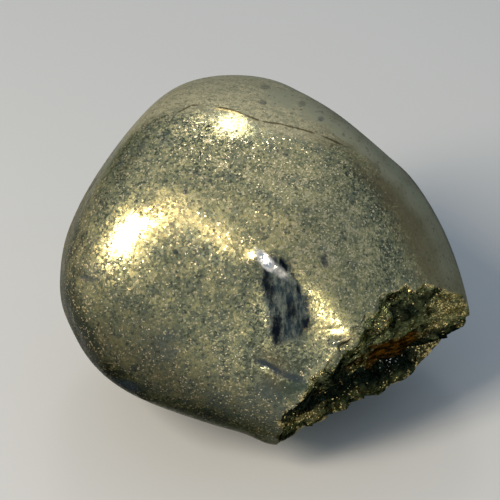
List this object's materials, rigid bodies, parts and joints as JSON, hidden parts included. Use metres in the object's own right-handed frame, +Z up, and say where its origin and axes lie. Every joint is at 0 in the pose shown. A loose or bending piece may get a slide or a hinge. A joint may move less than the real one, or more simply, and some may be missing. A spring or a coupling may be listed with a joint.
{
  "type": "chalcopyrite nugget",
  "caption": "Rounded waterworn nugget of massive brassy chalcopyrite with a dark wedge inclusion and a rough broken face, lying on a small worn flat.",
  "frame": {"origin": "on the plane of the resting flat, under the middle of the stone's box", "axes": "+Z up as it lies, front towards -Y, and the broken face looking to the lower right front, towards +X and -Y"},
  "size_m": [0.0518, 0.0454, 0.0423],
  "materials": {
    "chalcopyrite": "tumbled massive sulfide with a dulled brassy metallic lustre, fine sparkling grain, and a darker, rust-stained broken face"
  },
  "bodies": {
    "root": {"chalcopyrite_nugget": "chalcopyrite"}
  },
  "joints": []
}
